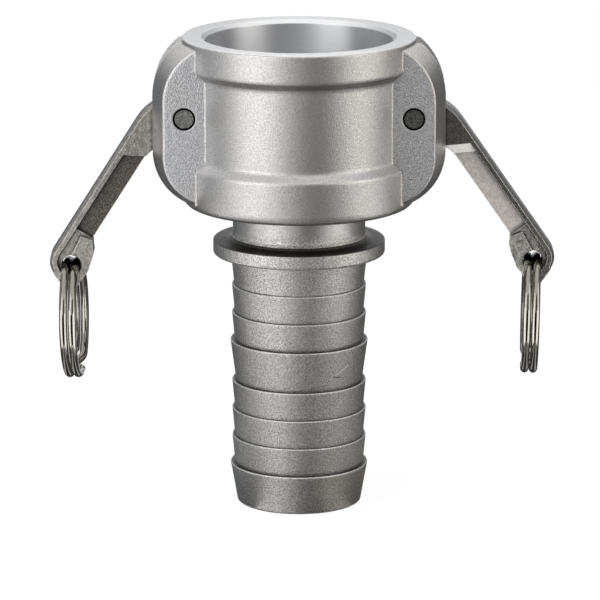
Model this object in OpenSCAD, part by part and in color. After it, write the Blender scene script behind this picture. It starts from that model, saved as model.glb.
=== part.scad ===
// Cam lever hose shank coupler: a cast socket with two cam levers on top of a barbed hose shank.
// The origin is the centre of the shank's end face, +Z runs up to the socket's mouth,
// and the levers swing in the XZ plane.

/* [Main sizes] */
// Height of the coupler from the shank's end to the socket's mouth
coupler_h = 137.6; // [136:0.1:144]
// Distance between the axes of the two lever pins
pin_span = 65.4; // [64:0.1:68]
// Length of a lever from its pin to its tip
lever_l = 63; // [59:0.5:69]

/* [Hose shank] */
// Outside radius of the common barbs
barb_r = 19.5; // [18.5:0.1:20.4]
// Outside radius of the first barb and of the long barb
barb_major_r = 20; // [19:0.1:21]
// Radius at the foot of a short barb
barb_root_r = 18.8; // [17.8:0.1:18.9]
// Radius at the foot of the long barb
long_root_r = 18.5; // [17.8:0.1:18.8]
// Radius of the shank's end
end_r = 18.1; // [17.6:0.1:18.6]
// Height of the first barb's crest above the end face
first_barb_h = 11.6; // [9:0.1:13]
// Spacing of the short barbs
barb_pitch = 8.3; // [7.5:0.05:9]
// Length of the long barb
long_barb_h = 12; // [10:0.1:14]
// Length of the plain stretch between the last barb and the flange
collar_h = 9; // [7:0.1:12]
// Radius of the plain stretch at the flange
collar_r = 19.7; // [19:0.1:20]
// Radius of the plain stretch above the last barb
collar_root_r = 18.95; // [18.8:0.05:19.2]
// Radius of the way through
flow_r = 16; // [14:0.1:16.4]
// Radius of the flange above the hose end
flange_r = 24.9; // [23:0.1:27]
// Thickness of the flange
flange_t = 4.2; // [3:0.1:5]
// Radius of the neck between flange and cup
neck_r = 19.2; // [18.8:0.1:21]
// Length of the neck
neck_h = 10.4; // [9:0.1:15]

/* [Socket cup] */
// Radius of the socket's bore
socket_r = 27; // [26.8:0.05:27.3]
// Outside radius of the band round the mouth
rim_r = 33.6; // [33:0.1:35]
// Height of the band round the mouth
rim_h = 8.1; // [6:0.1:9]
// Outside radius of the cup between its bands
wall_r = 31.2; // [30.4:0.1:32]
// Outside radius of the band at the cup's foot
foot_r = 33.5; // [33:0.1:35]
// Height of the band at the cup's foot
foot_h = 12.3; // [10:0.1:13]
// Thickness of the cup's floor under the gasket
floor_t = 4.8; // [3.5:0.1:6]
// Width of the lead-in at the mouth
mouth_chamfer = 1.1; // [0.6:0.1:1.6]

/* [Gasket] */
// Outside radius of the gasket
gasket_r = 27.8; // [27.5:0.05:28]
// Inside radius of the gasket
gasket_bore_r = 20.6; // [20:0.1:22]
// Thickness of the gasket
gasket_t = 6.35; // [5.5:0.05:7]
// Clearance round and above the gasket in its groove
gasket_gap = 0.3; // [0.2:0.05:0.5]

/* [Lugs] */
// Height of the pin's axis below the mouth
pin_drop = 21.2; // [20:0.1:23]
// Distance of a lug's front face from the middle of its pair
lug_y = 16.4; // [15:0.1:18]
// Width of the slot between the two lugs of a pair
slot_w = 9.6; // [9.4:0.1:11]
// Reach of the lug's straight edge from the socket's axis
lug_x = 39.1; // [38.6:0.1:41]
// Radius of the lug's upper corner
lug_top_r = 17.5; // [13:0.1:18]
// Drop of the lugs' tops below the mouth
lug_top_drop = 1.2; // [0.6:0.1:2]
// Radius of the lug's lower corner
lug_foot_r = 14; // [12:0.1:15]
// Draft of the lug's edge
lug_draft = 14.5; // [8:0.5:18]
// Rounding along the edge of the lug's front face
lug_round = 0.9; // [0.4:0.1:1.4]

/* [Cam levers] */
// Width of a lever across its hub and rib
lever_w = 9; // [8:0.1:9]
// Distance of the handle's inner edge from the pin's axis
handle_in = 2.65; // [2.6:0.1:3.6]
// Distance of the handle's outer edge from the pin's axis
handle_out = 10.4; // [9.8:0.1:11]
// Distance from the eye to the lever's tip, along the handle
eye_tip = 7; // [6.5:0.1:8]
// Radius of the eye for the ring
eye_r = 2.8; // [2.75:0.05:3]
// Thickness of the rib along the handle's outer edge
rib_t = 2.1; // [1.6:0.1:2.6]
// Thickness of the web inside the rib
web_t = 4.4; // [3.4:0.1:5.4]
// Thickness of the pad round the eye
pad_t = 6.6; // [6:0.1:7.2]
// Thickness of the raised boss beside the eye
boss_t = 8.2; // [7.6:0.1:8.8]
// Radius of the hub on the socket's side
hub_r = 5.4; // [5:0.05:5.5]
// Distance of the cam's nose from the pin's axis
cam_throw = 7.6; // [7:0.1:8]
// Radius of the cam's nose
cam_nose_r = 2.2; // [1.8:0.1:2.4]
// Direction of the cam's nose below the horizontal with the lever shut
cam_angle = 34; // [32:0.5:40]
// Opening angle of the left lever as it stands
left_open = 32.4; // [0:0.1:60]
// Opening angle of the right lever as it stands
right_open = 34.7; // [0:0.1:60]

/* [Lever pins] */
// Radius of a lever pin
pin_r = 3; // [2.5:0.05:3.1]
// Running clearance between pin and lever
pin_gap = 0.05; // [0.02:0.01:0.1]
// Depth of the pin's end below the lug's face
pin_recess = 0.3; // [0.1:0.1:0.8]
// Chamfer at the pin's ends and at the mouths of its holes
pin_chamfer = 0.3; // [0.2:0.05:0.5]

/* [Split rings] */
// Outside diameter of a ring
ring_d = 35.4; // [32:0.1:38]
// Diameter of the ring's wire
ring_wire_d = 2.4; // [1.9:0.05:2.45]
// Gap between the two turns of wire
ring_turn_gap = 0.1; // [0.05:0.01:0.2]
// Lean of a hanging ring towards the shank
ring_lean = 1.2; // [0:0.1:4]
// Turn of the left ring about the upright
left_ring_turn = 3.7; // [0:0.1:4]
// Turn of the right ring about the upright
right_ring_turn = 2; // [0:0.1:4]

/* [Hidden] */
$fn = 96;
// Fine steps of a drawn arc, in pieces
arc_steps = 5;
// Small roundings of the casting
crest_round = 0.35;
flange_round = 0.8;
flange_edge = 0.25;
foot_round = 2.5;
end_round = 0.5;
neck_fillet = 2.6;
neck_root_fillet = 2.8;
root_fillet = 0.8;
step_round = 1.4;
step_fillet = 2;
barb_step = 0.45;
collar_taper_h = 8.2;
seam_fillet = 0.9;
rim_chamfer = 0.3;
bore_chamfer = 0.6;
// Overlap of the seam fillets with the lugs and the bands
seam_overlap = 0.3;
// Reach of the cutters past the faces they open
past = 1;

// Heights along the axis
long_z = first_barb_h + 3 * barb_pitch;
upper_z = long_z + long_barb_h;
last_z = upper_z + 2 * barb_pitch;
flange_z = last_z + collar_h;
neck_z = flange_z + flange_t;
cup_z = neck_z + neck_h;
mouth_z = coupler_h;
cup_h = mouth_z - cup_z;
seat_z = cup_z + floor_t;
pin_z = mouth_z - pin_drop;
pin_x = pin_span / 2;
step_foot_z = cup_z + foot_h;
step_rim_z = mouth_z - rim_h;
wall_foot_z = step_foot_z + foot_r - wall_r;
wall_rim_z = step_rim_z - rim_r + wall_r;
// Part of each corner that the bands' roundings and fillets take up
round_reach = step_round * tan(22.5);
fillet_reach = step_fillet * tan(22.5);

// The gasket's groove and the way down from its seat
groove_r = gasket_r + gasket_gap;
groove_top_z = seat_z + gasket_t + gasket_gap;
seat_step = 1.1;
seat_r = gasket_bore_r - seat_step;
cone_drop = 0.8;
cone_z = cup_z - cone_drop;

// The windows that the cams work through
window_gap = 1;
window_room = 3.2;
window_low = cam_throw + cam_nose_r + window_gap;
window_high = hub_r + window_room;
window_round = 1.5;
// Start of the window's cutter inside the bore
window_inset = 4;

// Lug corners, and the pins' press fit in the lugs
lug_top_rise = 4.4;
lug_foot_fall = 11.4;
hole_gap = 0.02;
lug_inner_y = slot_w / 2;
lug_depth = lug_y - lug_inner_y;
lug_top_z = pin_z + lug_top_rise;
lug_foot_z = pin_z - lug_foot_fall;
hole_r = pin_r + hole_gap;
pin_half = lug_y - pin_recess;

// Lever outline
shoulder_r = 15.3;
shoulder_drop = 10;
eye_in = 3.7;
ledge_drop = 20.4;
ledge_inner_drop = 17.2;
// Chamfer of the handle's outer edge, on a lever's face and down its edge
edge_chamfer = 0.8;
edge_chamfer_side = 1.5;
// Start of that chamfer on the shoulder, clear of the lugs
edge_start = 4;
// Width of the slope between hub and recess on one face of a lever, and the step left at its foot
ledge_slope = 2.9;
ledge_step = 0.2;
tip_drop = lever_l;
eye_drop = lever_l - eye_tip;
corner_r = 6;
corner_turn = 68;
tip_r = 2;
tip_x = 1.1;
wing_drop = eye_drop - 4.7;

ring_mid_r = (ring_d - ring_wire_d) / 2;
ring_half_pitch = (ring_wire_d + ring_turn_gap) / 2;
// Part of a turn in which the wire crosses from one side to the other
ring_cross = 20;
// Gap left along the turn between both ends and the crossing, taken together
ring_end_gap = 5;
ring_sweep = 720 - ring_cross - ring_end_gap;
ring_half = (ring_sweep - ring_cross) / 2;
// Steps along the wire, in degrees, and finer ones where it crosses over
ring_step = 8;
cross_step = 3;
// Where the wire starts, in degrees past the ring's bottom on the rear side
ring_start = 38;
wire_sides = 14;

cast_colour = [0.66, 0.66, 0.66];
lever_colour = [0.50, 0.48, 0.46];
pin_colour = [0.36, 0.36, 0.35];
wire_colour = [0.75, 0.75, 0.75];
rubber_colour = [0.08, 0.08, 0.08];

// Points of an arc about c from angle a to angle b
function arc(c, r, a, b, n = arc_steps) = [
    for (i = [0 : n]) let (t = a + (b - a) * i / n) c + r * [cos(t), sin(t)]
];

// Outline of one barb from its foot up to its crest, and over the step to the next foot
function barb(r0, z0, r1, z1, r2) = concat(
    [[r0, z0]],
    arc([r1 - crest_round, z1 - crest_round], crest_round, 0, 70, 3),
    [[r2, z1 + barb_step - crest_round]]
);

function short_barbs(z, n, root, last) = [
    for (i = [0 : n - 1])
        each barb(root, z + i * barb_pitch + barb_step, barb_r,
            z + (i + 1) * barb_pitch, i == n - 1 ? last : barb_root_r)
];

// Outside of the casting from the end face up to the mouth
casting_outside = concat(
    [[flow_r, 0]],
    arc([end_r - end_round, end_round], end_round, -90, -10),
    barb(end_r, end_round, barb_major_r, first_barb_h, barb_root_r),
    short_barbs(first_barb_h, 3, barb_root_r, long_root_r),
    barb(long_root_r, long_z + barb_step, barb_major_r, upper_z, barb_root_r),
    short_barbs(upper_z, 2, barb_root_r, collar_root_r),
    [[collar_root_r, last_z + barb_step]],
    [[collar_root_r, flange_z - collar_taper_h]],
    arc([collar_r + root_fillet, flange_z - root_fillet], root_fillet, 180, 90, 3),
    arc([flange_r - flange_round, flange_z + flange_round], flange_round, -90, 0),
    [[flange_r, neck_z - flange_edge]],
    [[flange_r - flange_edge, neck_z]],
    arc([neck_r + neck_root_fillet, neck_z + neck_root_fillet], neck_root_fillet, 270, 180),
    arc([neck_r + neck_fillet, cup_z - neck_fillet], neck_fillet, 180, 90),
    arc([foot_r - foot_round, cup_z + foot_round], foot_round, -90, 0),
    arc([foot_r - step_round, step_foot_z - round_reach], step_round, 0, 45, 4),
    arc([wall_r + step_fillet, wall_foot_z + fillet_reach], step_fillet, 225, 180, 4),
    arc([wall_r + step_fillet, wall_rim_z - fillet_reach], step_fillet, 180, 135, 4),
    arc([rim_r - step_round, step_rim_z + round_reach], step_round, -45, 0, 4),
    [[rim_r, mouth_z - rim_chamfer]],
    [[rim_r - rim_chamfer, mouth_z]],
    [[flow_r, mouth_z]]
);

// The hollow of the casting, from below its end to above its mouth
casting_inside = [
    [0, -past],
    [flow_r + bore_chamfer + past, -past],
    [flow_r, bore_chamfer],
    [flow_r, cone_z],
    [seat_r, seat_z],
    [groove_r, seat_z],
    [groove_r, groove_top_z],
    [socket_r, groove_top_z],
    [socket_r, mouth_z - mouth_chamfer],
    [socket_r + mouth_chamfer + past, mouth_z + past],
    [0, mouth_z + past]
];

// Section of a lug's edge: the face at y = 0, drafted back to the slot, with its edge rounded
function lug_section(r) = concat(
    [[0, 0]],
    arc([r - lug_round, lug_round], lug_round, -90, -lug_draft),
    [[r + lug_depth * tan(lug_draft), lug_depth]],
    [[0, lug_depth]]
);

// A lug's corner, turned about an axis along Y
module lug_corner(x, z, r) {
    translate([x, -lug_y, z])
        rotate([-90, 0, 0])
            rotate_extrude()
                polygon(lug_section(r));
}

// The front lug of the right pair
module lug() {
    lug_corner(lug_x - lug_top_r, lug_top_z, lug_top_r);
    lug_corner(lug_x - lug_foot_r, lug_foot_z, lug_foot_r);
    translate([lug_x - lug_top_r, -lug_y, lug_foot_z])
        linear_extrude(lug_top_z - lug_foot_z)
            polygon(lug_section(lug_top_r));
}

// Fillet where a lug's front face meets a band of radius r
module lug_seam(r, z0, z1) {
    centre_y = lug_y + seam_fillet;
    centre_x = sqrt(pow(r + seam_fillet, 2) - pow(centre_y, 2));
    foot = r / (r + seam_fillet);
    translate([0, 0, z0])
        linear_extrude(z1 - z0)
            difference() {
                polygon([
                    [centre_x, -lug_y + seam_overlap],
                    [centre_x, -centre_y],
                    [centre_x * foot, -centre_y * foot],
                    [centre_x * foot - seam_overlap, -lug_y + seam_overlap]
                ]);
                translate([centre_x, -centre_y])
                    circle(seam_fillet);
            }
}

module lug_pair() {
    for (side = [0, 1])
        mirror([0, side, 0]) {
            lug();
            lug_seam(wall_r, wall_foot_z, wall_rim_z);
            lug_seam(rim_r, step_rim_z + round_reach, mouth_z - lug_top_drop - lug_round);
            lug_seam(foot_r, cup_z + foot_round, step_foot_z - round_reach);
        }
}

// The way through the cup's wall for one cam
module cam_window() {
    high = window_high - window_round;
    low = window_low - window_round;
    half = slot_w / 2;
    start = socket_r - window_inset;
    translate([start, 0, pin_z])
        rotate([90, 0, 90])
            linear_extrude(wall_r + past - start) {
                translate([-half, -low])
                    square([slot_w, high + low]);
                translate([-half + window_round, -window_low])
                    square([slot_w - 2 * window_round, window_low + window_high]);
                for (x = [-half + window_round, half - window_round], y = [-low, high])
                    translate([x, y])
                        circle(window_round);
            }
}

// Both lugs' bores for one pin, with their countersinks
module pin_holes() {
    translate([pin_x, lug_y + past, pin_z])
        rotate([90, 0, 0])
            cylinder(r = hole_r, h = 2 * (lug_y + past));
    for (side = [0, 1])
        mirror([0, side, 0])
            translate([pin_x, -lug_y - past, pin_z])
                rotate([-90, 0, 0])
                    cylinder(
                        r1 = hole_r + pin_chamfer + past,
                        r2 = hole_r,
                        h = pin_chamfer + past
                    );
}

module body() {
    color(cast_colour)
        difference() {
            union() {
                rotate_extrude()
                    polygon(casting_outside);
                intersection() {
                    for (side = [0, 1])
                        mirror([side, 0, 0])
                            lug_pair();
                    translate([0, 0, cup_z])
                        cylinder(r = lug_x + 2 * lug_depth, h = cup_h - lug_top_drop);
                }
            }
            rotate_extrude()
                polygon(casting_inside);
            for (side = [0, 1])
                mirror([side, 0, 0]) {
                    cam_window();
                    pin_holes();
                }
        }
}

module gasket() {
    color(rubber_colour)
        translate([0, 0, seat_z])
            difference() {
                cylinder(r = gasket_r, h = gasket_t);
                translate([0, 0, -past])
                    cylinder(r = gasket_bore_r, h = gasket_t + 2 * past);
            }
}

// Lever drawn shut, in a plane with the pin at its origin: x points away from the socket
// and y up, so the handle hangs down along -y.
cam_at = cam_throw * [-cos(cam_angle), -sin(cam_angle)];
cam_lean = acos((hub_r - cam_nose_r) / cam_throw);
cam_upper = 180 + cam_angle - cam_lean;
cam_lower = 180 + cam_angle + cam_lean;
shoulder_at = [handle_out - shoulder_r, -shoulder_drop];
// Where the shoulder's arc meets the hub's, seen from the shoulder's centre
shoulder_end = 61.5;

lever_outline = concat(
    // cam nose and hub
    arc(cam_at, cam_nose_r, cam_lower - 20, cam_upper),
    arc([0, 0], hub_r, cam_upper, 78, 8),
    // shoulder down to the handle's outer edge
    arc(shoulder_at, shoulder_r, shoulder_end, 0, 10),
    // round the end of the handle
    arc([handle_out - corner_r, -eye_drop + 0.5], corner_r, 0, -corner_turn, 8),
    arc([tip_x, -tip_drop + tip_r], tip_r, -corner_turn, -170),
    arc([0.9, -eye_drop + 1], 2.2, 180, 150, 3),
    arc([2.8, -wing_drop], 3.1, 170, 130, 4),
    [[handle_in, -wing_drop + 5]],
    // inner edge up to the cam
    [[handle_in, -18]],
    [[handle_in - 0.3, -16]],
    [[handle_in - 0.8, -14.3]],
    [[handle_in - 2.4, -11.4]],
    [[handle_in - 4.8, -9]]
);

// Recess inside the rib, open on the handle's inner side
ledge_run = handle_out - rib_t - handle_in;
ledge_fall = (ledge_drop - ledge_inner_drop) / ledge_run;
pocket_x = -8;
pocket_outline = concat(
    [[pocket_x, -ledge_inner_drop + (handle_in - pocket_x) * ledge_fall]],
    [[handle_in, -ledge_inner_drop]],
    [[handle_out - rib_t, -ledge_drop]],
    arc([handle_out - corner_r, -eye_drop + 0.5], corner_r - rib_t, 0, -corner_turn),
    [[2.4, -tip_drop + 2.7]],
    [[pocket_x, -tip_drop + 6.9]]
);

// Part of the recess that the eye's pad fills, and the boss on its inner side
pad_outline = [
    [-8, -eye_drop + 9.8],
    [handle_out, -eye_drop + 9.8],
    [handle_out, -tip_drop],
    [-8, -tip_drop]
];
boss_outline = [
    [-8, -eye_drop + 9.4],
    [2.6, -eye_drop + 9.4],
    [5.9, -eye_drop + 8.7],
    [5.3, -eye_drop + 2.8],
    [eye_in, -eye_drop],
    [2.4, -tip_drop + 2.2],
    [-8, -tip_drop + 2.2]
];

// A flat layer of the lever, t thick about the lever's middle plane
module layer(t) {
    rotate([90, 0, 0])
        translate([0, 0, -t / 2])
            linear_extrude(t)
                children();
}

// Cutter for the slope from the hub down to the recess, on the lever's front face only
module ledge_cutter() {
    top = [-lever_w / 2, ledge_slope];
    foot = [-web_t / 2 - ledge_step, 0];
    intersection() {
        translate([handle_in, 0, -ledge_inner_drop])
            rotate([0, atan(ledge_fall), 0])
                translate([-2 * ledge_run, 0, 0])
                    rotate([90, 0, 90])
                        linear_extrude(4 * ledge_run)
                            polygon([
                                foot + 0.2 * (foot - top),
                                top + 0.5 * (top - foot),
                                [top[0] + 0.5 * (top[0] - foot[0]), foot[1] - past]
                            ]);
        translate([-handle_out, -lever_w, -lever_l])
            cube([2 * handle_out - rib_t, 2 * lever_w, lever_l]);
    }
}

// Section of the cutter for the chamfer, at the front face and at distance r from its own axis
function edge_section(r) = [
    [r - 1.5 * edge_chamfer, -(lever_w + edge_chamfer_side) / 2],
    [r + 0.5 * edge_chamfer, -(lever_w + edge_chamfer_side) / 2],
    [r + 0.5 * edge_chamfer, -lever_w / 2 + 1.5 * edge_chamfer_side]
];

// A part of the cutter that runs round a corner of the outline
module edge_turn(r) {
    rotate([-90, 0, 0])
        rotate_extrude()
            polygon(edge_section(r));
}

// Cutter for the chamfer along shoulder, handle and lower corner of the front face
module edge_cutter() {
    low_z = -eye_drop + 0.5;
    corner_x = handle_out - corner_r;
    intersection() {
        translate([shoulder_at[0], 0, shoulder_at[1]])
            edge_turn(shoulder_r);
        translate([edge_start, -lever_w, -shoulder_drop])
            cube([handle_out, 2 * lever_w, shoulder_r]);
    }
    translate([0, 0, low_z])
        linear_extrude(-shoulder_drop - low_z)
            polygon(edge_section(handle_out));
    intersection() {
        translate([corner_x, 0, low_z])
            edge_turn(corner_r);
        translate([corner_x + corner_r * cos(corner_turn), -lever_w, low_z - corner_r])
            cube([corner_r, 2 * lever_w, corner_r]);
    }
}

module lever_blank() {
    difference() {
        layer(lever_w)
            difference() {
                polygon(lever_outline);
                polygon(pocket_outline);
            }
        ledge_cutter();
    }
    layer(web_t)
        polygon(lever_outline);
    layer(pad_t)
        intersection() {
            polygon(lever_outline);
            polygon(pad_outline);
        }
    layer(boss_t)
        intersection() {
            polygon(lever_outline);
            polygon(boss_outline);
        }
}

// A lever, shut, with its pin bore and eye
module lever() {
    difference() {
        lever_blank();
        rotate([90, 0, 0])
            translate([0, 0, -lever_w])
                cylinder(r = pin_r + pin_gap, h = 2 * lever_w);
        for (side = [0, 1])
            mirror([0, side, 0])
                edge_cutter();
        translate([eye_in, 0, -eye_drop])
            rotate([90, 0, 0])
                translate([0, 0, -lever_w])
                    cylinder(r = eye_r, h = 2 * lever_w);
    }
}

module lever_right() {
    color(lever_colour)
        translate([pin_x, 0, pin_z])
            rotate([0, -right_open, 0])
                lever();
}

module lever_left() {
    color(lever_colour)
        translate([-pin_x, 0, pin_z])
            rotate([0, left_open, 0])
                rotate([0, 0, 180])
                    lever();
}

// A pin with a chamfer at each end
module lever_pin() {
    rotate([90, 0, 0])
        translate([0, 0, -pin_half])
            rotate_extrude()
                polygon([
                    [0, 0],
                    [pin_r - pin_chamfer, 0],
                    [pin_r, pin_chamfer],
                    [pin_r, 2 * pin_half - pin_chamfer],
                    [pin_r - pin_chamfer, 2 * pin_half],
                    [0, 2 * pin_half]
                ]);
}

module pin_left() {
    color(pin_colour)
        translate([-pin_x, 0, pin_z])
            lever_pin();
}

module pin_right() {
    color(pin_colour)
        translate([pin_x, 0, pin_z])
            lever_pin();
}

// Side step of the wire after a sweep of a degrees: one turn on each side,
// with an eased crossing in the middle
function ring_side(a) =
    let (t = (a - ring_half) / ring_cross)
        t < 0 ? ring_half_pitch
        : t > 1 ? -ring_half_pitch
        : ring_half_pitch * cos(180 * t);

// Centre of the wire, in the ring's own frame: x is the ring's axis, and the sweep starts at a0
function wire_at(a, a0) = [
    ring_side(a),
    ring_mid_r * sin(a + a0),
    -ring_mid_r * cos(a + a0)
];

function wire_section(a, a0) = [
    for (k = [0 : wire_sides - 1])
        let (
            t = 360 * k / wire_sides,
            r = ring_wire_d / 2,
            out = [0, sin(a + a0), -cos(a + a0)]
        )
            wire_at(a, a0) + r * cos(t) * out + r * sin(t) * [1, 0, 0]
];

// Places along the wire at which its section is drawn
ring_count = ceil(ring_half / ring_step);
cross_count = ceil(ring_cross / cross_step);
ring_turns = concat(
    [for (i = [0 : ring_count - 1]) ring_half * i / ring_count],
    [for (i = [0 : cross_count - 1]) ring_half + ring_cross * i / cross_count],
    [for (i = [0 : ring_count]) ring_half + ring_cross + ring_half * i / ring_count]
);

// A split ring hanging from its top, whose wire starts a0 degrees past the ring's bottom
module split_ring(a0) {
    count = len(ring_turns) - 1;
    points = [for (a = ring_turns) each wire_section(a, a0)];
    sides = [
        for (i = [0 : count - 1], k = [0 : wire_sides - 1])
            let (n = (k + 1) % wire_sides)
                [
                    i * wire_sides + k,
                    (i + 1) * wire_sides + k,
                    (i + 1) * wire_sides + n,
                    i * wire_sides + n
                ]
    ];
    start = [[for (k = [0 : wire_sides - 1]) k]];
    finish = [[for (k = [wire_sides - 1 : -1 : 0]) count * wire_sides + k]];
    translate([0, 0, -ring_mid_r])
        polyhedron(points = points, faces = concat(sides, start, finish));
}

// The eye's centre as an offset from the pin, for a lever opened by a degrees
function eye_offset(a) = [
    eye_in * cos(a) + eye_drop * sin(a),
    eye_in * sin(a) - eye_drop * cos(a)
];
// The wire sags over the pad's width, so its top is a little above the eye's centre
ring_rise = pow(pad_t / 2, 2) / (4 * ring_mid_r);

module hung_ring(side, open, turn) {
    eye = eye_offset(open);
    translate([side * (pin_x + eye[0]), 0, pin_z + eye[1]])
        rotate([0, side * ring_lean, 0])
            rotate([0, 0, -turn])
                translate([0, 0, ring_rise])
                    mirror([side < 0 ? 1 : 0, 0, 0])
                        split_ring(ring_start);
}

module ring_left() {
    color(wire_colour)
        hung_ring(-1, left_open, left_ring_turn);
}

module ring_right() {
    color(wire_colour)
        hung_ring(1, right_open, right_ring_turn);
}

body();
gasket();
lever_left();
lever_right();
pin_left();
pin_right();
ring_left();
ring_right();
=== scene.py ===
import math

import bpy
from mathutils import Matrix, Vector


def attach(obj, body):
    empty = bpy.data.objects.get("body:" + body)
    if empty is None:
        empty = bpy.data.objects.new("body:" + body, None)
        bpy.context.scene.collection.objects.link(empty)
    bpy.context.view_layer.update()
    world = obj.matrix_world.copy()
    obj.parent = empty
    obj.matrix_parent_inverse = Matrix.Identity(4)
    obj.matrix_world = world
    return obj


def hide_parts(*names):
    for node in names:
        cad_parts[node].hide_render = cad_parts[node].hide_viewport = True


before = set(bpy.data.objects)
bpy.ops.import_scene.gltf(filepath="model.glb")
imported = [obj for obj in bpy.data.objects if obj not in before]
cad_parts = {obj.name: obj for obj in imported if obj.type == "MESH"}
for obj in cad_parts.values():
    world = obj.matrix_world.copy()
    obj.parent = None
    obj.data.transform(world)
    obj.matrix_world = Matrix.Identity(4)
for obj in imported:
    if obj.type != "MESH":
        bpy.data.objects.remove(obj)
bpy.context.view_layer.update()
print("frame loaded:", len(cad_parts), "nodes")

# lengths in the dictionaries are in millimetres, and those of the studio and the camera in metres
mm = 0.001
black = (0, 0, 0, 1)
white = (1, 1, 1, 1)


# nodes of a tree, made and joined by name

def addNode(tree, kind, inputs=None, **settings):
    node = tree.nodes.new(kind)
    for key, value in settings.items():
        setattr(node, key, value)
    for key, value in (inputs or {}).items():
        setInput(tree, node.inputs[key], value)
    return node


def setInput(tree, socket, value):
    if isinstance(value, bpy.types.NodeSocket):
        tree.links.new(value, socket)
    elif value is not None:
        socket.default_value = value


def calc(tree, operation, *values, clamp=False):
    node = addNode(tree, "ShaderNodeMath", operation=operation, use_clamp=clamp)
    for socket, value in zip(node.inputs, values):
        setInput(tree, socket, value)
    return node.outputs[0]


def times(tree, first, *others):
    for other in others:
        first = calc(tree, "MULTIPLY", first, other)
    return first


def plus(tree, a, b):
    return calc(tree, "ADD", a, b)


def minus(tree, a, b):
    return calc(tree, "SUBTRACT", a, b)


def larger(tree, a, b):
    return calc(tree, "MAXIMUM", a, b)


def size(tree, value):
    return calc(tree, "ABSOLUTE", value)


# length of the vector with these two parts
def reach(tree, a, b):
    return calc(tree, "SQRT", plus(tree, times(tree, a, a), times(tree, b, b)))


# outLow below low, outHigh above high, eased between
def ramp(tree, value, low, high, outLow=0.0, outHigh=1.0):
    bounds = {"Value": value, "From Min": low, "From Max": high, "To Min": outLow, "To Max": outHigh}
    return addNode(tree, "ShaderNodeMapRange", bounds, interpolation_type="SMOOTHSTEP").outputs["Result"]


# the same for a length, with its two bounds in millimetres
def zone(tree, value, bounds, outLow=0.0, outHigh=1.0):
    return ramp(tree, value, bounds[0] * mm, bounds[1] * mm, outLow, outHigh)


def mixValue(tree, factor, a, b):
    return addNode(tree, "ShaderNodeMix", {0: factor, 2: a, 3: b}, data_type="FLOAT").outputs[0]


def mixColour(tree, factor, a, b):
    return addNode(tree, "ShaderNodeMix", {0: factor, 6: a, 7: b}, data_type="RGBA").outputs[2]


# colours laid over one another from the lowest up, each with its mask and its share
def layered(tree, colour, layers):
    for mask, share, over in layers:
        colour = mixColour(tree, times(tree, mask, share), colour, over)
    return colour


def noise(tree, vector, scale, detail=2.0, rough=0.5):
    inputs = {"Vector": vector, "Scale": scale, "Detail": detail, "Roughness": rough}
    return addNode(tree, "ShaderNodeTexNoise", inputs).outputs["Fac"]


def split(tree, vector):
    return addNode(tree, "ShaderNodeSeparateXYZ", {0: vector}).outputs


def objectCoords(tree):
    return addNode(tree, "ShaderNodeTexCoord").outputs["Object"]


# the plain face normal, turning with its piece
def ownNormal(tree):
    face = addNode(tree, "ShaderNodeNewGeometry").outputs["True Normal"]
    turned = addNode(tree, "ShaderNodeVectorTransform", {0: face}, vector_type="NORMAL",
                     convert_from="WORLD", convert_to="OBJECT")
    return split(tree, turned.outputs[0])


def bumped(tree, height, depth, normal=None):
    inputs = {"Height": height, "Strength": 1.0, "Distance": depth * mm, "Normal": normal}
    return addNode(tree, "ShaderNodeBump", inputs).outputs[0]


def newMaterial(name):
    material = bpy.data.materials.new(name)
    material.use_nodes = True
    material.node_tree.nodes.clear()
    return material, material.node_tree


def finish(tree, shader):
    addNode(tree, "ShaderNodeOutputMaterial", {"Surface": shader})


def finishMetal(tree, colour, roughness, normal, metallic=1.0, **more):
    inputs = {"Base Color": colour, "Roughness": roughness, "Metallic": metallic, "Normal": normal, **more}
    finish(tree, addNode(tree, "ShaderNodeBsdfPrincipled", inputs).outputs[0])


def groupTree(name, inputs, outputs, kind="ShaderNodeTree"):
    tree = bpy.data.node_groups.new(name, kind)
    for way, sockets in (("INPUT", inputs), ("OUTPUT", outputs)):
        for label, socket in sockets.items():
            tree.interface.new_socket(label, in_out=way, socket_type="NodeSocket" + socket)
    source = tree.nodes.new("NodeGroupInput").outputs
    sink = tree.nodes.new("NodeGroupOutput").inputs
    return tree, source, sink


def useGroup(tree, group, **values):
    return addNode(tree, "ShaderNodeGroup", values, node_tree=group).outputs


# shared effects

grainLook = {"halfScale": 0.4, "halfShare": 0.15, "speck": (0.38, 0.62), "cloudScale": 60.0}


# blasted skin: small relief, specks of the same size, and wide clouds
def makeCastGrain(p):
    tree, source, sink = groupTree("castGrain", {"Vector": "Vector", "Size": "Float", "Seed": "Float"},
                                   {"Height": "Float", "Speck": "Float", "Cloud": "Float"})
    moved = addNode(tree, "ShaderNodeVectorMath", {0: source["Vector"], 1: source["Seed"]}).outputs[0]
    scale = calc(tree, "DIVIDE", 1 / mm, source["Size"])
    small = noise(tree, moved, scale, 2.0, 0.6)
    half = noise(tree, moved, times(tree, scale, p["halfScale"]), 1.0)
    height = plus(tree, times(tree, small, 1 - p["halfShare"]), times(tree, half, p["halfShare"]))
    setInput(tree, sink["Height"], height)
    setInput(tree, sink["Speck"], ramp(tree, noise(tree, moved, scale, 3.0, 0.75), *p["speck"]))
    setInput(tree, sink["Cloud"], noise(tree, moved, p["cloudScale"], 3.0, 0.55))
    return tree


wearLook = {"samples": 6, "edge": (0.02, 0.16), "crease": (0.006, 0.022), "corner": (0.45, 0.95)}


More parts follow.
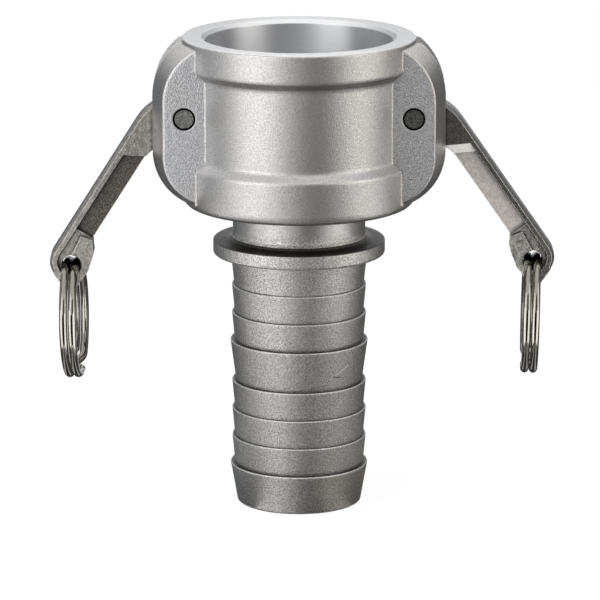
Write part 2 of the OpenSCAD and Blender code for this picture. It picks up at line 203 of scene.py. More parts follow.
# masks for rubbed edges and soft creases, which also carry painted highlight, and for inner corners, from
# ambient occlusion, which carry painted shade
def makeEdgeWearAndShade(p):
    tree, source, sink = groupTree("edgeWearAndShade", {"Radius": "Float", "Reach": "Float"},
                                   {"Edge": "Float", "Crease": "Float", "Corner": "Float", "Normal": "Vector"})
    bevel = addNode(tree, "ShaderNodeBevel", {"Radius": source["Radius"]}, samples=p["samples"]).outputs[0]
    face = addNode(tree, "ShaderNodeNewGeometry").outputs["Normal"]
    same = addNode(tree, "ShaderNodeVectorMath", {0: bevel, 1: face}, operation="DOT_PRODUCT").outputs["Value"]
    bend = minus(tree, 1.0, same)
    shade = addNode(tree, "ShaderNodeAmbientOcclusion", {"Distance": source["Reach"]}, samples=p["samples"])
    corner = ramp(tree, shade.outputs["AO"], *p["corner"], 1.0, 0.0)
    bare = calc(tree, "SUBTRACT", 1.0, corner, clamp=True)
    setInput(tree, sink["Edge"], times(tree, ramp(tree, bend, *p["edge"]), bare))
    setInput(tree, sink["Crease"], times(tree, ramp(tree, bend, *p["crease"]), bare))
    setInput(tree, sink["Corner"], corner)
    setInput(tree, sink["Normal"], bevel)
    return tree


# fine grooves of turning, one set along the axis and one along the radius
def makeTurnedLines(bandScale):
    tree, source, sink = groupTree("turnedLines", {"Radius": "Float", "Height": "Float", "Pitch": "Float"},
                                   {"Lines": "Float", "Bands": "Float"})
    along = plus(tree, source["Radius"], source["Height"])
    perPitch = calc(tree, "DIVIDE", along, times(tree, source["Pitch"], mm))
    spot = addNode(tree, "ShaderNodeCombineXYZ", {"X": perPitch}).outputs[0]
    setInput(tree, sink["Lines"], noise(tree, spot, 1.0, 2.0, 0.7))
    setInput(tree, sink["Bands"], noise(tree, spot, bandScale, 1.0))
    return tree


# 1 along a straight mark between two points of the XZ plane
def makeScratch(fade):
    names = ("Across", "Up", "StartX", "StartZ", "EndX", "EndZ", "Width")
    tree, source, sink = groupTree("scratch", {name: "Float" for name in names}, {"Mark": "Float"})
    runX = minus(tree, source["EndX"], source["StartX"])
    runZ = minus(tree, source["EndZ"], source["StartZ"])
    toX = minus(tree, source["Across"], source["StartX"])
    toZ = minus(tree, source["Up"], source["StartZ"])
    dot = plus(tree, times(tree, toX, runX), times(tree, toZ, runZ))
    square = plus(tree, times(tree, runX, runX), times(tree, runZ, runZ))
    part = calc(tree, "DIVIDE", dot, square, clamp=True)
    away = reach(tree, minus(tree, toX, times(tree, part, runX)), minus(tree, toZ, times(tree, part, runZ)))
    mark = ramp(tree, away, source["Width"], times(tree, source["Width"], fade), 1.0, 0.0)
    setInput(tree, sink["Mark"], mark)
    return tree


castGrain = makeCastGrain(grainLook)
edgeWearAndShade = makeEdgeWearAndShade(wearLook)
turnedLines = makeTurnedLines(0.13)
scratch = makeScratch(2.5)
print("shared effects made")


# tones come in pairs, for the dark and the light specks, and zones give where a mask starts and is full
casting = {
    "cupTones": ((0.465, 0.456, 0.454, 1), (0.71, 0.70, 0.694, 1)),
    "shankTones": ((0.33, 0.323, 0.316, 1), (0.86, 0.846, 0.828, 1)),
    "lugTones": ((0.48, 0.482, 0.50, 1), (0.89, 0.89, 0.91, 1)),
    "boreTones": ((0.84, 0.85, 0.87, 1), (0.95, 0.955, 0.97, 1)),
    "mouth": (0.765, 0.77, 0.795, 1),
    "mouthLit": white,
    "warm": (0.56, 0.53, 0.48, 1),
    "light": (0.90, 0.90, 0.90, 1),
    "paintedSoftShade": (0.10, 0.095, 0.085, 1),
    "paintedDeepShade": (0.022, 0.020, 0.014, 1),
    "crest": (0.93, 0.93, 0.97, 1),
    "pinGapShade": (0.01, 0.01, 0.01, 1),
    # shares of what lies over the skin
    "stained": 0.22, "wornAndHighlit": 0.8, "inCorners": 0.75, "below": 0.6, "atRoots": 0.8, "onCrests": 0.35,
    "onLedges": 0.93, "rightShade": 0.27, "leadInShade": (0.85, 0.6), "boreShade": 0.6,
    # relief and gloss
    "grainSize": 0.34, "shankGrain": 0.20, "cupGrain": 0.10, "lugGrain": 0.17, "rightGrain": 0.27,
    "linePitch": 0.22, "boreLines": 0.03, "mouthLines": 0.006, "boreStretch": 0.85,
    "castRough": (0.43, 0.32), "boreRough": (0.40, 0.48), "mouthRough": (0.17, 0.25),
    "shankEdge": 0.28, "cupEdge": 0.5, "sharpShare": 0.1, "cornerReach": 1.1,
    # zones along Z, X, Y and the radius
    "shankZ": (69, 70), "neckZ": (80, 83), "cupZ": (80, 84), "grooveZ": (93, 93.5), "mouthZ": (137.48, 137.56),
    "boreRadius": (27.05, 27.1), "leadInRadius": (28.15, 28.3), "leadInX": (19, 27), "boreX": (17, 26.5),
    "lipY": (-27, -19), "rearY": (0, 20), "rearX": (8, 27), "rightX": (-1, 1), "frontY": (-5, -4),
    "lugX": (25.5, 26), "lugY": (15.8, 16), "slotX": (25, 26), "slotY": (5, 5.5), "sharpY": (6.5, 7.5),
    # zones of the face normal, and of the clouds and corners
    "lugFacing": (0.97, 0.985), "belowFacing": (-0.75, -0.35), "flangeFacing": (0.45, 0.8),
    "ledgeFacing": (0.88, 0.95), "crestFacing": (0.12, 0.3),
    "stainCloud": (0.42, 0.72), "rootCorner": (0.15, 0.7),
    "pinX": 32.7, "pinZ": 116.4, "pinLine": (3.18, 3.38),
    # start, end, half width and tone of each mark on the shank's front
    "scratches": [(10.4, 40.9, 14.2, 43.6, 0.10, 0.95), (10.0, 40.7, 11.7, 40.3, 0.12, 0.16),
                  (-3.6, 48.0, -3.1, 47.5, 0.14, 0.9), (6.9, 19.7, 7.5, 19.4, 0.14, 0.95)],
}


def castingMaterial(p):
    material, tree = newMaterial("blastedCasting")
    coords = objectCoords(tree)
    x, y, z = split(tree, coords)
    radius = reach(tree, x, y)
    aside, depth = size(tree, x), size(tree, y)
    face = ownNormal(tree)
    onShank = zone(tree, z, p["shankZ"], 1.0, 0.0)
    onCup = zone(tree, z, p["cupZ"])
    onRight = zone(tree, x, p["rightX"])
    byWall = zone(tree, aside, p["slotX"], 1.0, 0.0)

    grain = useGroup(tree, castGrain, Vector=coords, Size=p["grainSize"])
    turned = useGroup(tree, turnedLines, Radius=radius, Height=z, Pitch=p["linePitch"])
    # the edges of the levers' slots stay sharp
    soft = larger(tree, zone(tree, depth, p["sharpY"], p["sharpShare"], 1.0), byWall)
    edgeRadius = zone(tree, z, p["cupZ"], p["shankEdge"] * mm, p["cupEdge"] * mm)
    wearAndShade = useGroup(tree, edgeWearAndShade, Radius=times(tree, soft, edgeRadius), Reach=p["cornerReach"] * mm)

    # machined faces: the mouth, its lead-in and the bore
    onMouth = zone(tree, z, p["mouthZ"])
    inside = times(tree, zone(tree, radius, p["leadInRadius"], 1.0, 0.0), zone(tree, z, p["grooveZ"]))
    inBore = times(tree, inside, zone(tree, radius, p["boreRadius"], 1.0, 0.0))
    machined = larger(tree, onMouth, inside)
    cast = minus(tree, 1.0, machined)

    # the cast skin, lighter specks on darker, and cooler on the lugs' flat faces, with the right lug's faces
    # darkened by painted shade
    speck = grain["Speck"]
    shank = mixColour(tree, speck, *p["shankTones"])
    tone = mixColour(tree, onCup, shank, mixColour(tree, speck, *p["cupTones"]))
    lugFace = times(tree, ramp(tree, size(tree, face["Y"]), *p["lugFacing"]),
                    zone(tree, aside, p["lugX"]), zone(tree, depth, p["lugY"]))
    lug = layered(tree, mixColour(tree, speck, *p["lugTones"]), [(onRight, p["rightShade"], black)])

    # what lies over it: stains, rubbed edges lightened with painted highlight, painted shade in corners and
    # underneath, painted shade on the flange, at the shank's roots and on the shank's ledges, and painted
    # highlight on the crests
    # painted highlight along the levers' slots between the lugs
    slotEdgeHighlight = times(tree, minus(tree, 1.0, byWall), zone(tree, depth, p["slotY"], 1.0, 0.0))
    below = times(tree, ramp(tree, face["Z"], *p["belowFacing"], 1.0, 0.0), onCup)
    onFlange = times(tree, zone(tree, z, p["shankZ"]), zone(tree, z, p["neckZ"], 1.0, 0.0))
    ledge = plus(tree, times(tree, ramp(tree, face["Z"], *p["flangeFacing"]), onFlange),
                 times(tree, ramp(tree, face["Z"], *p["ledgeFacing"]), onShank))
    tone = layered(tree, tone, [
        (lugFace, 1.0, lug),
        (ramp(tree, grain["Cloud"], *p["stainCloud"]), p["stained"], p["warm"]),
        # rubbed edges lightened partly as painted highlight, and the slots' painted highlight
        (larger(tree, wearAndShade["Edge"], slotEdgeHighlight), p["wornAndHighlit"], p["light"]),
        # painted shade in inner corners, and on the cup's faces that look down
        (wearAndShade["Corner"], p["inCorners"], p["paintedSoftShade"]),
        (below, p["below"], p["paintedSoftShade"]),
        # painted shade at the roots of the shank's barbs
        (times(tree, ramp(tree, wearAndShade["Corner"], *p["rootCorner"]), onShank), p["atRoots"], p["paintedDeepShade"]),
        # painted highlight along the barbs' crests
        (times(tree, ramp(tree, face["Z"], *p["crestFacing"]), onShank), p["onCrests"], p["crest"]),
        # painted shade on the flange's top and on the shank's ledges
        (ledge, p["onLedges"], p["paintedDeepShade"]),
    ])

    # marks on the shank's front, and a black line of painted shade in the gap round each pin
    front = zone(tree, y, p["frontY"], 1.0, 0.0)
    for startX, startZ, endX, endZ, width, level in p["scratches"]:
        mark = useGroup(tree, scratch, Across=x, Up=z, StartX=startX * mm, StartZ=startZ * mm,
                        EndX=endX * mm, EndZ=endZ * mm, Width=width * mm)["Mark"]
        tone = layered(tree, tone, [(mark, front, (level, level, level, 1))])
    fromPin = reach(tree, minus(tree, aside, p["pinX"] * mm), minus(tree, z, p["pinZ"] * mm))
    tone = mixColour(tree, zone(tree, fromPin, p["pinLine"], 1.0, 0.0), tone, p["pinGapShade"])

    # painted light makes the mouth brightest in front and behind, and painted shade darkens lead-in and bore
    # at the sides
    rear = times(tree, zone(tree, y, p["rearY"]), zone(tree, aside, p["rearX"], 1.0, 0.0))
    lit = larger(tree, zone(tree, y, p["lipY"], 1.0, 0.0), rear)
    leadIn = times(tree, minus(tree, 1.0, lit), minus(tree, 1.0, inBore))
    leadInShade = ramp(tree, leadIn, 0.0, 1.0, 1.0, zone(tree, aside, p["leadInX"], *p["leadInShade"]))
    boreShade = zone(tree, times(tree, inBore, aside), p["boreX"], 1.0, p["boreShade"])
    bright = mixColour(tree, turned["Bands"], *p["boreTones"])
    bright = mixColour(tree, times(tree, leadInShade, boreShade), black, bright)
    bright = mixColour(tree, onMouth, bright, mixColour(tree, lit, p["mouth"], p["mouthLit"]))
    colour = mixColour(tree, machined, tone, bright)

    lines = turned["Lines"]
    turnedRough = mixValue(tree, onMouth, ramp(tree, lines, 0.0, 1.0, *p["boreRough"]),
                           ramp(tree, lines, 0.0, 1.0, *p["mouthRough"]))
    rough = mixValue(tree, machined, ramp(tree, speck, 0.0, 1.0, *p["castRough"]), turnedRough)

    grainDepth = mixValue(tree, lugFace, zone(tree, z, p["cupZ"], p["shankGrain"], p["cupGrain"]),
                          mixValue(tree, onRight, p["lugGrain"], p["rightGrain"]))
    lineDepth = plus(tree, times(tree, inBore, p["boreLines"]), times(tree, onMouth, p["mouthLines"]))
    height = plus(tree, times(tree, grain["Height"], cast, grainDepth), times(tree, lines, lineDepth))
    # the bore's turning marks spread the light along its axis
    upward = addNode(tree, "ShaderNodeCombineXYZ", {"Z": 1.0}).outputs[0]
    finishMetal(tree, colour, rough, bumped(tree, height, 1.0, wearAndShade["Normal"]), Tangent=upward,
                Anisotropic=times(tree, inBore, p["boreStretch"]))
    return material


# along runs down the handle from its pin, and thick is measured from the lever's middle
lever = {
    "light": (0.74, 0.73, 0.71, 1),
    "paintedDeepShade": (0.02, 0.018, 0.015, 1),
    "slope": (0.88, 0.85, 0.82, 1),
    "pinX": 32.7, "pinZ": 116.4, "hubEnd": (18, 20),
    "eyeAlong": 56.0, "eyeAcross": 3.7, "eyeHole": (2.85, 2.98),
    "webThick": (2.4, 2.7), "padThick": (3.5, 3.8), "ribThick": (4.2, 4.4),
    "slopeDown": (0.42, 0.5), "slopeSide": (0.6, 0.7), "slopeMatt": 0.7, "slateSoft": 0.05,
    "grainSize": 0.36, "grainSeed": 3.0, "speckShare": 0.18, "wornAndHighlit": 0.85, "inCorners": 0.85,
    "mottleScale": 700.0, "mottleRange": (0.40, 0.62), "spotScale": 1800.0, "spotRange": (0.50, 0.68),
    "lumpScale": 900.0, "lumpShare": 0.9, "grainShare": 0.7, "relief": 0.11,
    "edge": 0.3, "cornerReach": 1.6, "roughness": (0.52, 0.42),
    # how far each lever stands open, and its colours from the web out to the hub; these hold painted light and
    # shade, darker on the left web and on the right rib and hub, lighter on the right web and boss
    "left": {"open": 32.4, "web": (0.075, 0.062, 0.050, 1), "pad": (0.48, 0.455, 0.42, 1),
             "boss": (0.50, 0.48, 0.45, 1), "rib": (0.47, 0.45, 0.42, 1), "hub": (0.45, 0.42, 0.395, 1),
             "stain": (0.05, 0.042, 0.035, 1), "mottle": 0.42, "webMottle": 0.7, "webMetal": 0.8,
             "outerFaceShade": (0.13, 0.135, 0.15, 1), "slateFrom": 0.92, "crease": 0.5},
    "right": {"open": 34.7, "web": (0.52, 0.48, 0.455, 1), "pad": (0.46, 0.44, 0.41, 1),
              "boss": (0.62, 0.60, 0.56, 1), "rib": (0.13, 0.126, 0.115, 1), "hub": (0.18, 0.175, 0.16, 1),
              "stain": (0.04, 0.036, 0.03, 1), "mottle": 0.6, "webMottle": 0.25, "webMetal": 0.25,
              "outerFaceShade": (0.21, 0.21, 0.215, 1), "slateFrom": 0.6, "crease": 0.7},
}


def leverMaterial(name, side, p):
    own = p["left" if side < 0 else "right"]
    material, tree = newMaterial(name)
    coords = objectCoords(tree)
    x, y, z = split(tree, coords)
    face = ownNormal(tree)
    grain = useGroup(tree, castGrain, Vector=coords, Size=p["grainSize"], Seed=p["grainSeed"])
    wearAndShade = useGroup(tree, edgeWearAndShade, Radius=p["edge"] * mm, Reach=p["cornerReach"] * mm)

    # place on the lever, whatever its opening
    sine, cosine = math.sin(math.radians(own["open"])), math.cos(math.radians(own["open"]))
    out = minus(tree, times(tree, x, side), p["pinX"] * mm)
    up = minus(tree, z, p["pinZ"] * mm)
    along = minus(tree, times(tree, out, sine), times(tree, up, cosine))
    across = plus(tree, times(tree, out, cosine), times(tree, up, sine))
    thick = size(tree, y)
    outward = plus(tree, times(tree, face["X"], side * cosine), times(tree, face["Z"], sine))
    downward = minus(tree, times(tree, face["X"], side * sine), times(tree, face["Z"], cosine))

    rib = mixColour(tree, zone(tree, along, p["hubEnd"]), own["hub"], own["rib"])
    tone = layered(tree, own["web"], [
        (zone(tree, thick, p["webThick"]), 1.0, own["pad"]),
        (zone(tree, thick, p["padThick"]), 1.0, own["boss"]),
        (zone(tree, thick, p["ribThick"]), 1.0, rib),
    ])

    # stains, painted shade on the outer face, and painted highlight on the sloped facet between hub and web
    mottle = ramp(tree, noise(tree, coords, p["mottleScale"], 3.0, 0.7), *p["mottleRange"])
    spot = ramp(tree, noise(tree, coords, p["spotScale"], 2.0, 0.6), *p["spotRange"])
    amount = zone(tree, thick, p["webThick"], own["webMottle"], own["mottle"])
    outer = ramp(tree, outward, own["slateFrom"], own["slateFrom"] + p["slateSoft"])
    slope = times(tree, ramp(tree, downward, *p["slopeDown"]),
                  ramp(tree, size(tree, face["Y"]), *p["slopeSide"]))
    # painted shade: black inside the eye
    fromEye = reach(tree, minus(tree, along, p["eyeAlong"] * mm), minus(tree, across, p["eyeAcross"] * mm))
    tone = layered(tree, tone, [
        (minus(tree, 1.0, mottle), amount, own["stain"]),
        (grain["Speck"], p["speckShare"], p["light"]),
        (spot, amount, own["stain"]),
        (outer, 1.0, own["outerFaceShade"]),
        (slope, 1.0, p["slope"]),
        # painted highlight along creases, and rubbed edges lightened partly as painted highlight
        (wearAndShade["Crease"], own["crease"], p["light"]),
        (wearAndShade["Edge"], p["wornAndHighlit"], p["light"]),
        # painted shade in inner corners
        (wearAndShade["Corner"], p["inCorners"], p["paintedDeepShade"]),
        (zone(tree, fromEye, p["eyeHole"], 1.0, 0.0), 1.0, p["paintedDeepShade"]),
    ])

    rough = ramp(tree, mottle, 0.0, 1.0, *p["roughness"])
    lumps = noise(tree, coords, p["lumpScale"])
    height = plus(tree, times(tree, grain["Height"], p["grainShare"]), times(tree, lumps, p["lumpShare"]))
    webMetal = zone(tree, thick, p["webThick"], own["webMetal"], 1.0)
    metal = calc(tree, "SUBTRACT", webMetal, times(tree, slope, p["slopeMatt"]), clamp=True)
    finishMetal(tree, tone, rough, bumped(tree, height, p["relief"], wearAndShade["Normal"]), metal)
    return material


pin = {
    "tones": ((0.14, 0.14, 0.13, 1), (0.40, 0.40, 0.38, 1)),
    "gapShade": (0.008, 0.008, 0.008, 1),
    "x": 32.7, "z": 116.4, "rimRadius": (2.58, 2.75), "rightX": (-1, 1), "rightShade": 0.5,
    "grainSize": 0.35, "grainSeed": 7.0, "relief": 0.12,
    "blotScale": 1900.0, "blotRange": (0.38, 0.64), "roughness": (0.5, 0.38),
}


def pinMaterial(p):
    material, tree = newMaterial("shearedPin")
    coords = objectCoords(tree)
    place = split(tree, coords)
    grain = useGroup(tree, castGrain, Vector=coords, Size=p["grainSize"], Seed=p["grainSeed"])
    blot = ramp(tree, noise(tree, coords, p["blotScale"], 3.0, 0.7), *p["blotRange"])
    away = reach(tree, minus(tree, size(tree, place["X"]), p["x"] * mm), minus(tree, place["Z"], p["z"] * mm))
    # painted shade: the right pin darker, and a black ring in the gap round the pin's end
    tone = layered(tree, mixColour(tree, blot, *p["tones"]), [
        (zone(tree, place["X"], p["rightX"]), p["rightShade"], black),
        (zone(tree, away, p["rimRadius"]), 1.0, p["gapShade"]),
    ])
    rough = ramp(tree, blot, 0.0, 1.0, *p["roughness"])
    finishMetal(tree, tone, rough, bumped(tree, grain["Height"], p["relief"]))
    return material


gasket = {
    "tones": ((0.018, 0.018, 0.018, 1), (0.032, 0.032, 0.031, 1)),
    "bloomCloud": (0.4, 0.7), "grainSize": 0.3, "grainSeed": 11.0, "relief": 0.02, "roughness": (0.5, 0.62),
}


def rubberMaterial(p):
    material, tree = newMaterial("gasketRubber")
    grain = useGroup(tree, castGrain, Vector=objectCoords(tree), Size=p["grainSize"], Seed=p["grainSeed"])
    tone = mixColour(tree, ramp(tree, grain["Cloud"], *p["bloomCloud"]), *p["tones"])
    rough = ramp(tree, grain["Speck"], 0.0, 1.0, *p["roughness"])
    finishMetal(tree, tone, rough, bumped(tree, grain["Height"], p["relief"]), 0.0)
    return material


ring = {
    # cross, endGap and start are angles: of the crossing, of the gap between the ends, and of its place
    "outside": 35.4, "wire": 2.4, "turnGap": 0.1, "cross": 20.0, "endGap": 5.0, "start": 38.0,
    # how it hangs in the eye
    "rise": 0.165, "lean": 1.2,
    "left": {"eye": (-65.8305, 0.0, 71.1001), "turn": 3.7},
    "right": {"eye": (67.6216, 0.0, 72.4665), "turn": 2.0},
    "points": 520, "sides": 28, "endPart": 0.0035, "endWidth": 0.72,
    "tones": ((0.32, 0.305, 0.275, 1), (0.37, 0.355, 0.325, 1)),
    "paintedDeepShade": (0.012, 0.011, 0.010, 1),
    "eyeShade": (5.2, 7.2), "eyeShare": 0.97, "grainSize": 0.9, "grainSeed": 5.0, "relief": 0.004,
    "roughCloud": (0.35, 0.7), "roughness": (0.07, 0.13),
}


def wireMaterial(p):
    material, tree = newMaterial("polishedWire")
    coords = objectCoords(tree)
    grain = useGroup(tree, castGrain, Vector=coords, Size=p["grainSize"], Seed=p["grainSeed"])
    tone = mixColour(tree, grain["Speck"], *p["tones"])
    # painted shade: dark where the wire lies in a lever's eye
    for own in (p["left"], p["right"]):
        away = addNode(tree, "ShaderNodeVectorMath", {0: coords, 1: Vector(own["eye"]) * mm},
                       operation="DISTANCE").outputs["Value"]
        tone = mixColour(tree, zone(tree, away, p["eyeShade"], p["eyeShare"], 0.0), tone, p["paintedDeepShade"])
    rough = ramp(tree, grain["Cloud"], *p["roughCloud"], *p["roughness"])
    finishMetal(tree, tone, rough, bumped(tree, grain["Height"], p["relief"]))
    return material


blastedCasting = castingMaterial(casting)
castLeverLeft = leverMaterial("castLeverLeft", -1, lever)
castLeverRight = leverMaterial("castLeverRight", 1, lever)
shearedPin = pinMaterial(pin)
gasketRubber = rubberMaterial(gasket)
polishedWire = wireMaterial(ring)

for name, material in (("body", blastedCasting), ("gasket", gasketRubber),
                       ("lever_left", castLeverLeft), ("lever_right", castLeverRight),
                       ("pin_left", shearedPin), ("pin_right", shearedPin)):
    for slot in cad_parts[name].material_slots:
        slot.material = material
print("finishes given to the casting, levers, pins and gasket")


# split rings: one wire that runs round twice and crosses over at the bottom

def wireTree(p):
    lengths = ("Mid Radius", "Wire Radius", "Half Pitch", "Sweep", "Cross", "Start")
    inputs = {"Geometry": "Geometry", **{label: "Float" for label in lengths}, "Finish": "Material"}
    tree, source, sink = groupTree("wireRing", inputs, {"Geometry": "Geometry"}, "GeometryNodeTree")
    line = addNode(tree, "GeometryNodeCurvePrimitiveLine").outputs[0]
    many = addNode(tree, "GeometryNodeResampleCurve", {"Curve": line, "Count": p["points"]}).outputs[0]
    along = addNode(tree, "GeometryNodeSplineParameter").outputs["Factor"]

    # the wire goes from one turn's plane to the other's in the middle of its way
    angle = times(tree, along, source["Sweep"])
    begin = times(tree, minus(tree, source["Sweep"], source["Cross"]), 0.5)
    part = calc(tree, "DIVIDE", minus(tree, angle, begin), source["Cross"], clamp=True)
    side = times(tree, calc(tree, "COSINE", times(tree, part, math.pi)), source["Half Pitch"])
    turn = calc(tree, "RADIANS", plus(tree, angle, source["Start"]))
    spot = addNode(tree, "ShaderNodeCombineXYZ", {
        "X": side,
        "Y": times(tree, calc(tree, "SINE", turn), source["Mid Radius"]),
        "Z": times(tree, calc(tree, "COSINE", turn), source["Mid Radius"], -1.0),
    }).outputs[0]
    path = addNode(tree, "GeometryNodeSetPosition", {"Geometry": many, "Position": spot}).outputs[0]
    section = addNode(tree, "GeometryNodeCurvePrimitiveCircle",
                      {"Resolution": p["sides"], "Radius": source["Wire Radius"]}, mode="RADIUS").outputs[0]

    # the cut ends are a little rounded
    fromEnd = calc(tree, "MINIMUM", along, minus(tree, 1.0, along))
    width = addNode(tree, "ShaderNodeMapRange", {"Value": fromEnd, "From Min": 0.0, "From Max": p["endPart"],
                                                 "To Min": p["endWidth"], "To Max": 1.0},
                    interpolation_type="SMOOTHERSTEP").outputs["Result"]
    tube = addNode(tree, "GeometryNodeCurveToMesh",
                   {"Curve": path, "Profile Curve": section, "Fill Caps": True})
    if "Scale" in tube.inputs:
        setInput(tree, tube.inputs["Scale"], width)
    smooth = addNode(tree, "GeometryNodeSetShadeSmooth", {"Geometry": tube.outputs[0]}).outputs[0]
    coated = addNode(tree, "GeometryNodeSetMaterial",
                     {"Geometry": smooth, "Material": source["Finish"]}).outputs[0]
    real = addNode(tree, "GeometryNodeRealizeInstances", {"Geometry": coated}).outputs[0]
    setInput(tree, sink["Geometry"], real)
    return tree


def hungRing(name, side, p, tree):
    base = bpy.data.objects.new(name, bpy.data.meshes.new(name))
    bpy.context.scene.collection.objects.link(base)
    modifier = base.modifiers.new("wire", "NODES")
    modifier.node_group = tree
    middle = (p["outside"] - p["wire"]) / 2
    values = {"Mid Radius": middle * mm, "Wire Radius": p["wire"] / 2 * mm,
              "Half Pitch": (p["wire"] + p["turnGap"]) / 2 * mm,
              "Sweep": 720 - p["cross"] - p["endGap"], "Cross": p["cross"], "Start": p["start"],
              "Finish": polishedWire}
    for item in tree.interface.items_tree:
        if item.item_type == "SOCKET" and item.in_out == "INPUT" and item.name in values:
            modifier[item.identifier] = values[item.name]
    base.update_tag()
    graph = bpy.context.evaluated_depsgraph_get()
    mesh = bpy.data.meshes.new_from_object(base.evaluated_get(graph))
    base.modifiers.clear()
    base.data = mesh

    # hung in its lever's eye, the left one mirrored
    own = p["left" if side < 0 else "right"]
    mirror = Matrix.Scale(side, 4, Vector((1, 0, 0)))
    mesh.transform(Matrix.Translation(Vector(own["eye"]) * mm)
                   @ Matrix.Rotation(math.radians(side * p["lean"]), 4, "Y")
                   @ Matrix.Rotation(math.radians(-own["turn"]), 4, "Z")
                   @ Matrix.Translation(Vector((0, 0, p["rise"] * mm)))
                   @ mirror @ Matrix.Translation(Vector((0, 0, -middle * mm))))
    if side < 0:
        mesh.flip_normals()
    mesh.update()
    return base


ringTree = wireTree(ring)
for name, side, body in (("splitRingLeft", -1, "ring_left"), ("splitRingRight", 1, "ring_right")):
    piece = hungRing(name, side, ring, ringTree)
    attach(piece, body)
    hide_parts(body)
print("split rings wound")


# studio: white floor and surroundings, and round the part walls and floor strips that only reflections see
studio = {
    "floorX": (-4, 4), "floorY": (-3, 5), "floorZ": -0.0002, "floorTone": (0.86, 0.86, 0.86, 1),
    "floorWhite": 1.03, "floorShare": 0.9, "around": 0.75,
    # radius and heights of the wall, bounds of the floor strips, and degrees between points
    "wall": 0.70, "wallTop": 0.75, "slateTop": 0.262, "backTop": 0.25, "backFoot": 0.19, "backWhite": 1.0,
    "nearEnd": 0.30, "footEnd": 0.065, "stripZ": 0.0004, "step": 4,
    # the foot strips, which the shank's lowest part reflects
    "footTurn": 0.68, "footShare": 0.60, "backShare": 0.1, "footLeast": 0.065, "footTint": (1.0, 0.97, 0.88),
    # each sector: its bearings, the levels of its wall, far floor and near floor, and its tint
    "sectors": [
        ("leftBack", -180, -162, 0.10, 0.25, 0.60, (0.95, 0.98, 1.0)),
        ("leftSlate", -162, -125, 0.11, 0.10, 0.09, (0.85, 0.93, 1.0)),
        ("leftGrey", -125, -66, 0.45, 0.45, 0.10, (0.97, 0.99, 1.0)),
        ("leftBox", -66, -24, 2.2, 1.35, 0.92, (1.0, 1.0, 1.0)),
        ("leftFade", -24, -6, 0.75, 0.62, 0.50, (1.0, 1.0, 1.0)),
        ("frontEdge", -6, 6, 0.30, 0.30, 0.22, (1.0, 1.0, 1.0)),
        ("frontCard", 6, 36, 0.10, 0.10, 0.08, (1.0, 1.0, 1.0)),
        ("rightFade", 36, 46, 0.45, 0.40, 0.20, (1.0, 0.98, 0.95)),
        ("rightBox", 46, 86, 1.80, 0.98, 0.36, (1.0, 0.98, 0.94)),
        ("rightGrey", 86, 125, 0.28, 0.25, 0.07, (1.0, 0.98, 0.95)),
        ("rightSlate", 125, 162, 0.07, 0.07, 0.07, (0.9, 0.95, 1.0)),
        ("rightBack", 162, 180, 0.10, 0.25, 0.60, (0.95, 0.98, 1.0)),
    ],
}


def stageMesh(name, points, faces, material):
    mesh = bpy.data.meshes.new(name)
    mesh.from_pydata(points, [], faces)
    mesh.materials.append(material)
    piece = bpy.data.objects.new(name, mesh)
    bpy.context.scene.collection.objects.link(piece)
    return piece


# seen by reflections alone, unless it also has to light the part
def hiddenMesh(name, points, faces, material, lights=False):
    piece = stageMesh(name, points, faces, material)
    piece.visible_camera = False
    piece.visible_shadow = False
    piece.visible_transmission = False
    piece.visible_diffuse = lights


def plate(spanX, spanY, z):
    return [(spanX[0], spanY[0], z), (spanX[1], spanY[0], z), (spanX[1], spanY[1], z), (spanX[0], spanY[1], z)]


# quads between pairs of points
def quads(count):
    return [(k - 2, k, k + 1, k - 1) for k in range(2, 2 * count, 2)]


# 1 for the rays that see the surroundings themselves
def whiteShare(tree):
    ray = addNode(tree, "ShaderNodeLightPath").outputs
    seen = plus(tree, ray["Is Camera Ray"], ray["Is Glossy Ray"])
    return calc(tree, "ADD", seen, ray["Is Transmission Ray"], clamp=True)


def floorMaterial(p):
    material, tree = newMaterial("paleFloor")
    plain = addNode(tree, "ShaderNodeBsdfDiffuse", {"Color": p["floorTone"]}).outputs[0]
    bright = addNode(tree, "ShaderNodeEmission", {"Color": white, "Strength": p["floorWhite"]}).outputs[0]
    share = times(tree, whiteShare(tree), p["floorShare"])
    finish(tree, addNode(tree, "ShaderNodeMixShader", {0: share, 1: plain, 2: bright}).outputs[0])
    return material


def glow(name, level, tint=(1, 1, 1), oneSided=False):
    material, tree = newMaterial(name)
    light = addNode(tree, "ShaderNodeEmission", {"Color": (*tint, 1), "Strength": level}).outputs[0]
    if oneSided:
        back = addNode(tree, "ShaderNodeNewGeometry").outputs["Backfacing"]
        clear = addNode(tree, "ShaderNodeBsdfTransparent").outputs[0]
        light = addNode(tree, "ShaderNodeMixShader", {0: back, 1: light, 2: clear}).outputs[0]
    finish(tree, light)
    return material


# bearing 0 is the camera's side, and 90 is +X
def bearing(azimuth, radius, z):
    a = math.radians(azimuth)
    return (radius * math.sin(a), -radius * math.cos(a), z)


# a strip between two rims, each a radius and a height
def strip(p, name, start, end, rims, level, tint, lights=False):
    steps = max(2, int((end - start) / p["step"]))
    turns = [start + (end - start) * i / steps for i in range(steps + 1)]
    points = [bearing(turn, *gapShade) for turn in turns for gapShade in rims]
    hiddenMesh(name, points, quads(len(turns)), glow(name, level, tint), lights)


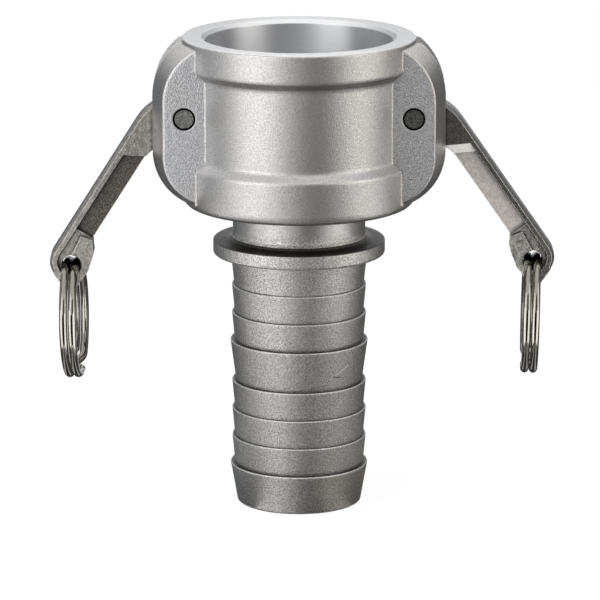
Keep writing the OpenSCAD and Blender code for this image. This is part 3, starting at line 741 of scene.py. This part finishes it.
def addSector(p, name, start, end, wall, far, near, tint):
    isBack, isSlate = "Back" in name, "Slate" in name
    low = p["backFoot"] if isBack else 0.0
    top = p["backTop"] if isBack else p["slateTop"] if isSlate else p["wallTop"]
    # the brightest walls light the part as well
    strip(p, name, start, end, ((p["wall"], low), (p["wall"], top)), wall, tint, wall > 1)
    if isBack:
        strip(p, name + "Low", start, end, ((p["wall"], 0.0), (p["wall"], low)), p["backWhite"], tint)

    rims = [(radius, p["stripZ"]) for radius in (p["wall"], p["nearEnd"], p["footEnd"], 0.0)]
    strip(p, name + "Far", start, end, rims[0:2], far, tint)
    strip(p, name + "Near", start, end, rims[1:3], near, tint)
    # on the foot strips the bearings close up to the front, and slates and back fill what that leaves
    footStart = start if isBack or (isSlate and start < 0) else start * p["footTurn"]
    footEnd = end if isBack or (isSlate and start > 0) else end * p["footTurn"]
    foot = near * (p["backShare"] if isBack else p["footShare"]) + p["footLeast"]
    strip(p, name + "Foot", footStart, footEnd, rims[2:4], foot, p["footTint"] if start > 0 else tint)


stageMesh("floor", plate(studio["floorX"], studio["floorY"], studio["floorZ"]),
          [(0, 1, 2, 3)], floorMaterial(studio))
for sector in studio["sectors"]:
    addSector(studio, *sector)


# before each ring stands a small curved screen, bright with a dark middle, over floor of the same kind
screens = {
    "x": 0.0667, "y": -0.016, "radius": 0.025, "low": 0.029, "high": 0.066, "steps": 6,
    "turns": (-82, -30, 30, 82), "levels": (2.5, 0.02, 2.5),
    "floorX": (0.045, 0.055, 0.078, 0.095), "floorY": (-0.06, 0.04), "floorZ": 0.0008,
    "left": (0.75, 0.05, 0.75), "right": (0.62, 0.05, 0.62),
}


def addScreens(p, name, side):
    for k, part in enumerate(("In", "Mid", "Out")):
        start, end = p["turns"][k:k + 2]
        points = []
        for i in range(p["steps"] + 1):
            turn = math.radians(start + (end - start) * i / p["steps"])
            x, y = side * (p["x"] + p["radius"] * math.sin(turn)), p["y"] - p["radius"] * math.cos(turn)
            points += [(x, y, p["low"]), (x, y, p["high"])]
        # turned to face the ring
        faces = [face[::-side] for face in quads(p["steps"] + 1)]
        hiddenMesh(name + part, points, faces, glow(name + part, p["levels"][k], oneSided=True))
        spanX = [side * x for x in p["floorX"][k:k + 2]]
        hiddenMesh(name + part + "Floor", plate(spanX, p["floorY"], p["floorZ"]), [(0, 1, 2, 3)],
                   glow(name + part + "Floor", p[name][k]))


for name, side in (("left", -1), ("right", 1)):
    addScreens(screens, name, side)


topLight = {"at": (-0.25, -0.2, 1.1), "aim": (0, 0, 0.08), "width": 0.9, "power": 7.0}

lamp = bpy.data.lights.new("topLight", "AREA")
lamp.size = topLight["width"]
lamp.energy = topLight["power"]
light = bpy.data.objects.new("topLight", lamp)
light.location = topLight["at"]
light.rotation_euler = (Vector(topLight["aim"]) - Vector(topLight["at"])).to_track_quat("-Z", "Y").to_euler()
light.visible_camera = False
light.visible_glossy = False
bpy.context.scene.collection.objects.link(light)

world = bpy.data.worlds.new("studio")
bpy.context.scene.world = world
world.use_nodes = True
tree = world.node_tree
tree.nodes.clear()
strength = ramp(tree, whiteShare(tree), 0.0, 1.0, studio["around"], 1.0)
sky = addNode(tree, "ShaderNodeBackground", {"Color": white, "Strength": strength}).outputs[0]
addNode(tree, "ShaderNodeOutputWorld", {"Surface": sky})
print("studio built")


# fitted to the photograph: metres, degrees and pixels
camera = {"back": 1.2395, "up": 0.3575, "pitch": 13.51, "focal": 4381.7, "frame": 600, "side": 0.95,
          "sensor": 36, "clipEnd": 50}

lens = bpy.data.cameras.new("camera")
lens.sensor_width = camera["sensor"]
lens.lens = camera["focal"] / camera["frame"] * camera["sensor"]
lens.shift_x = camera["side"] / camera["frame"]
lens.clip_end = camera["clipEnd"]
eye = bpy.data.objects.new("camera", lens)
eye.location = (0, -camera["back"], camera["up"])
eye.rotation_euler = (math.radians(90 - camera["pitch"]), 0, 0)
bpy.context.scene.collection.objects.link(eye)
bpy.context.scene.camera = eye
bpy.context.scene.view_settings.view_transform = "Standard"
